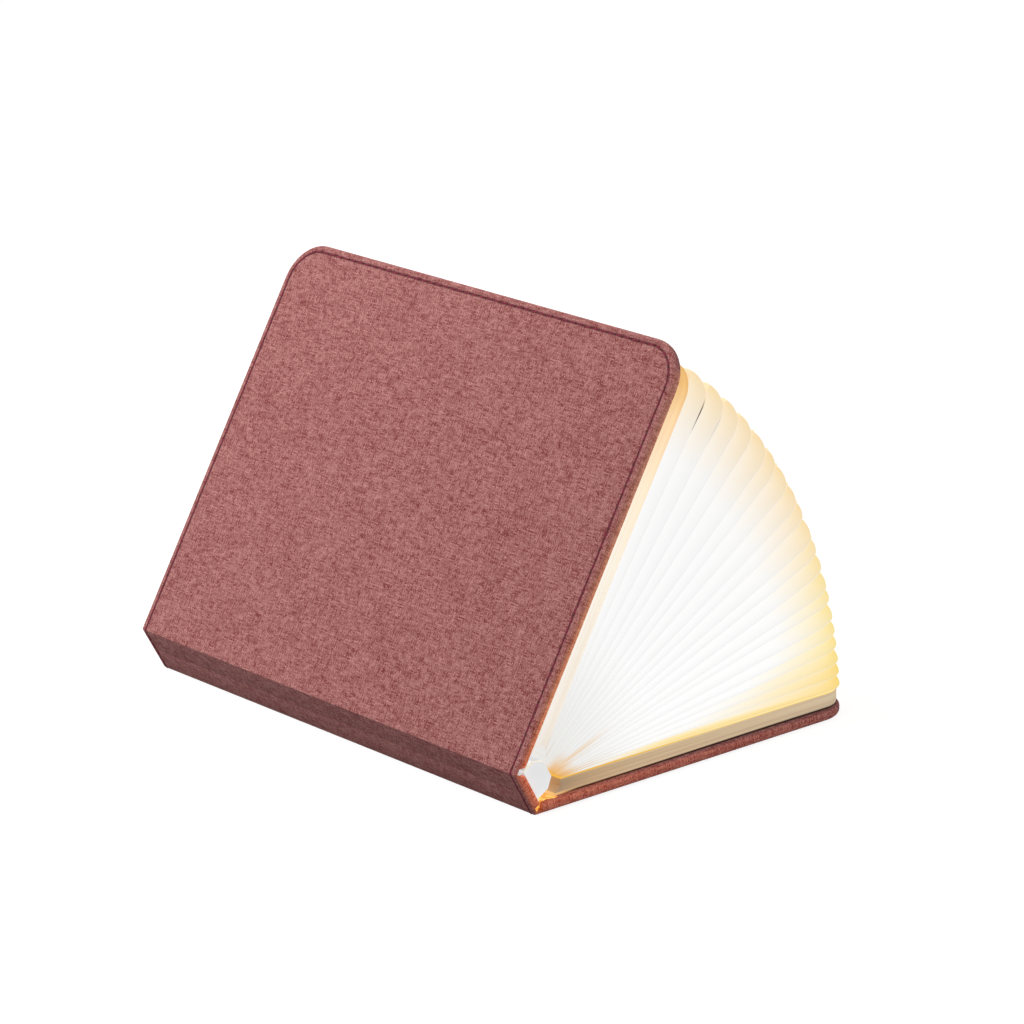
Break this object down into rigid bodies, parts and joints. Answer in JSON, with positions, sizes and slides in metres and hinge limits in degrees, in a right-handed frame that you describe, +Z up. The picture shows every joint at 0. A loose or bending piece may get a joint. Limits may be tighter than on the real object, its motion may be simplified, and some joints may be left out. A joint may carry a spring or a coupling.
{
  "type": "folding book lamp",
  "caption": "Book-shaped lamp with cloth covers, a lit spine core and a fan of paper page loops that opens right round on two hinges.",
  "frame": {"origin": "centre of the bounding box's underside, on the surface the back cover lies on", "axes": "+X along the spine to the head end, +Y from the spine to the back cover's fore-edge, +Z up"},
  "size_m": [0.215, 0.1724, 0.1579],
  "materials": {
    "cover_cloth": "woven melange cloth, dusty red",
    "cover_board": "plain grey board",
    "lining_paper": "smooth off-white paper",
    "page_block": "pressed page edges, warm beige",
    "page_paper": "thin translucent paper, lit from within",
    "core_shell": "pale grey moulded plastic",
    "core_diffuser": "frosted white plastic, lit from within",
    "led_board": "white board with light chips",
    "circuit_board": "green circuit board",
    "battery_wrap": "blue shrink wrap",
    "plated_metal": "bright nickel plate",
    "sensor_plastic": "black moulded plastic",
    "light_pipe": "clear moulded plastic"
  },
  "bodies": {
    "back_cover": {"back_cover_skin": "cover_cloth", "back_cover_board": "cover_board", "back_cover_lining": "lining_paper", "back_magnet_head": "plated_metal", "back_magnet_tail": "plated_metal", "sensor_magnet": "plated_metal", "back_page_block": "page_block"},
    "spine": {"spine_skin": "cover_cloth", "spine_board": "cover_board", "spine_lining": "lining_paper", "hinge_cloth_back": "cover_cloth", "hinge_cloth_front": "cover_cloth", "hinge_lining_back": "lining_paper", "hinge_lining_front": "lining_paper", "core_housing": "core_shell", "core_diffuser": "core_diffuser", "core_cap_head": "core_shell", "core_cap_tail": "core_shell", "charging_socket": "plated_metal", "charge_light": "light_pipe", "control_board": "circuit_board", "lid_sensor": "sensor_plastic", "battery_cell": "battery_wrap", "led_board": "led_board"},
    "front_cover": {"front_cover_skin": "cover_cloth", "front_cover_board": "cover_board", "front_cover_lining": "lining_paper", "front_magnet_head": "plated_metal", "front_magnet_tail": "plated_metal", "front_page_block": "page_block"},
    "pages_01": {"page_loop_01": "page_paper"},
    "pages_02": {"page_loop_02": "page_paper"},
    "pages_03": {"page_loop_03": "page_paper"},
    "pages_04": {"page_loop_04": "page_paper"},
    "pages_05": {"page_loop_05": "page_paper"},
    "pages_06": {"page_loop_06": "page_paper"},
    "pages_07": {"page_loop_07": "page_paper"},
    "pages_08": {"page_loop_08": "page_paper"},
    "pages_09": {"page_loop_09": "page_paper"},
    "pages_10": {"page_loop_10": "page_paper"},
    "pages_11": {"page_loop_11": "page_paper"},
    "pages_12": {"page_loop_12": "page_paper"},
    "pages_13": {"page_loop_13": "page_paper"},
    "pages_14": {"page_loop_14": "page_paper"},
    "pages_15": {"page_loop_15": "page_paper"},
    "pages_16": {"page_loop_16": "page_paper"},
    "pages_17": {"page_loop_17": "page_paper"},
    "pages_18": {"page_loop_18": "page_paper"},
    "pages_19": {"page_loop_19": "page_paper"},
    "pages_20": {"page_loop_20": "page_paper"}
  },
  "joints": [
    {"name": "back_hinge", "type": "hinge", "parent": "back_cover", "child": "spine", "pos_m": [0, -0.07525, 0.002], "axis": [1, 0, 0], "range_deg": [-30, 152.3], "deforming": ["hinge_cloth_back", "hinge_lining_back"]},
    {"name": "front_hinge", "type": "hinge", "parent": "spine", "child": "front_cover", "pos_m": [0, -0.08425, 0.01759], "axis": [1, 0, 0], "range_deg": [-30, 152.3], "deforming": ["hinge_cloth_front", "hinge_lining_front"]},
    {"name": "page_hinge_01", "type": "hinge", "parent": "spine", "child": "pages_01", "pos_m": [0, -0.07525, 0.002], "axis": [1, 0, 0], "range_deg": [-152.31, 30], "deforming": ["page_loop_01"]},
    {"name": "page_hinge_02", "type": "hinge", "parent": "spine", "child": "pages_02", "pos_m": [0, -0.07552, 0.00247], "axis": [1, 0, 0], "range_deg": [-143.1, 28.19], "deforming": ["page_loop_02"]},
    {"name": "page_hinge_03", "type": "hinge", "parent": "spine", "child": "pages_03", "pos_m": [0, -0.07581, 0.00297], "axis": [1, 0, 0], "range_deg": [-133.27, 26.25], "deforming": ["page_loop_03"]},
    {"name": "page_hinge_04", "type": "hinge", "parent": "spine", "child": "pages_04", "pos_m": [0, -0.07612, 0.00351], "axis": [1, 0, 0], "range_deg": [-122.8, 24.19], "deforming": ["page_loop_04"]},
    {"name": "page_hinge_05", "type": "hinge", "parent": "spine", "child": "pages_05", "pos_m": [0, -0.07645, 0.00408], "axis": [1, 0, 0], "range_deg": [-111.69, 22], "deforming": ["page_loop_05"]},
    {"name": "page_hinge_06", "type": "hinge", "parent": "spine", "child": "pages_06", "pos_m": [0, -0.0768, 0.00468], "axis": [1, 0, 0], "range_deg": [-99.95, 19.69], "deforming": ["page_loop_06"]},
    {"name": "page_hinge_07", "type": "hinge", "parent": "spine", "child": "pages_07", "pos_m": [0, -0.07716, 0.00531], "axis": [1, 0, 0], "range_deg": [-87.58, 17.25], "deforming": ["page_loop_07"]},
    {"name": "page_hinge_08", "type": "hinge", "parent": "spine", "child": "pages_08", "pos_m": [0, -0.07755, 0.00598], "axis": [1, 0, 0], "range_deg": [-74.57, 14.69], "deforming": ["page_loop_08"]},
    {"name": "page_hinge_09", "type": "hinge", "parent": "spine", "child": "pages_09", "pos_m": [0, -0.07795, 0.00668], "axis": [1, 0, 0], "range_deg": [-60.93, 12], "deforming": ["page_loop_09"]},
    {"name": "page_hinge_10", "type": "hinge", "parent": "spine", "child": "pages_10", "pos_m": [0, -0.07837, 0.00741], "axis": [1, 0, 0], "range_deg": [-46.65, 9.19], "deforming": ["page_loop_10"]},
    {"name": "page_hinge_11", "type": "hinge", "parent": "spine", "child": "pages_11", "pos_m": [0, -0.07881, 0.00817], "axis": [1, 0, 0], "range_deg": [-31.73, 6.25], "deforming": ["page_loop_11"]},
    {"name": "page_hinge_12", "type": "hinge", "parent": "spine", "child": "pages_12", "pos_m": [0, -0.07927, 0.00897], "axis": [1, 0, 0], "range_deg": [-16.19, 3.19], "deforming": ["page_loop_12"]},
    {"name": "page_hinge_13", "type": "hinge", "parent": "spine", "child": "pages_13", "pos_m": [0, -0.08025, 0.01065], "axis": [1, 0, 0], "range_deg": [-3.32, 16.82], "deforming": ["page_loop_13"]},
    {"name": "page_hinge_14", "type": "hinge", "parent": "spine", "child": "pages_14", "pos_m": [0, -0.08076, 0.01155], "axis": [1, 0, 0], "range_deg": [-6.75, 34.27], "deforming": ["page_loop_14"]},
    {"name": "page_hinge_15", "type": "hinge", "parent": "spine", "child": "pages_15", "pos_m": [0, -0.0813, 0.01247], "axis": [1, 0, 0], "range_deg": [-10.32, 52.36], "deforming": ["page_loop_15"]},
    {"name": "page_hinge_16", "type": "hinge", "parent": "spine", "child": "pages_16", "pos_m": [0, -0.08185, 0.01343], "axis": [1, 0, 0], "range_deg": [-14.01, 71.08], "deforming": ["page_loop_16"]},
    {"name": "page_hinge_17", "type": "hinge", "parent": "spine", "child": "pages_17", "pos_m": [0, -0.08242, 0.01442], "axis": [1, 0, 0], "range_deg": [-17.82, 90.43], "deforming": ["page_loop_17"]},
    {"name": "page_hinge_18", "type": "hinge", "parent": "spine", "child": "pages_18", "pos_m": [0, -0.08301, 0.01545], "axis": [1, 0, 0], "range_deg": [-21.75, 110.42], "deforming": ["page_loop_18"]},
    {"name": "page_hinge_19", "type": "hinge", "parent": "spine", "child": "pages_19", "pos_m": [0, -0.08362, 0.0165], "axis": [1, 0, 0], "range_deg": [-25.82, 131.05], "deforming": ["page_loop_19"]},
    {"name": "page_hinge_20", "type": "hinge", "parent": "spine", "child": "pages_20", "pos_m": [0, -0.08425, 0.01759], "axis": [1, 0, 0], "range_deg": [-30, 152.31], "deforming": ["page_loop_20"]}
  ],
  "couplings": [
    {"joint": "front_hinge", "follows": "back_hinge", "ratio": 1},
    {"joint": "page_hinge_01", "follows": "back_hinge", "ratio": -1},
    {"joint": "page_hinge_02", "follows": "back_hinge", "ratio": -0.93958},
    {"joint": "page_hinge_03", "follows": "back_hinge", "ratio": -0.875},
    {"joint": "page_hinge_04", "follows": "back_hinge", "ratio": -0.80625},
    {"joint": "page_hinge_05", "follows": "back_hinge", "ratio": -0.73333},
    {"joint": "page_hinge_06", "follows": "back_hinge", "ratio": -0.65625},
    {"joint": "page_hinge_07", "follows": "back_hinge", "ratio": -0.575},
    {"joint": "page_hinge_08", "follows": "back_hinge", "ratio": -0.48958},
    {"joint": "page_hinge_09", "follows": "back_hinge", "ratio": -0.4},
    {"joint": "page_hinge_10", "follows": "back_hinge", "ratio": -0.30625},
    {"joint": "page_hinge_11", "follows": "back_hinge", "ratio": -0.20833},
    {"joint": "page_hinge_12", "follows": "back_hinge", "ratio": -0.10625},
    {"joint": "page_hinge_13", "follows": "back_hinge", "ratio": 0.11042},
    {"joint": "page_hinge_14", "follows": "back_hinge", "ratio": 0.225},
    {"joint": "page_hinge_15", "follows": "back_hinge", "ratio": 0.34375},
    {"joint": "page_hinge_16", "follows": "back_hinge", "ratio": 0.46667},
    {"joint": "page_hinge_17", "follows": "back_hinge", "ratio": 0.59375},
    {"joint": "page_hinge_18", "follows": "back_hinge", "ratio": 0.725},
    {"joint": "page_hinge_19", "follows": "back_hinge", "ratio": 0.86042},
    {"joint": "page_hinge_20", "follows": "back_hinge", "ratio": 1}
  ]
}
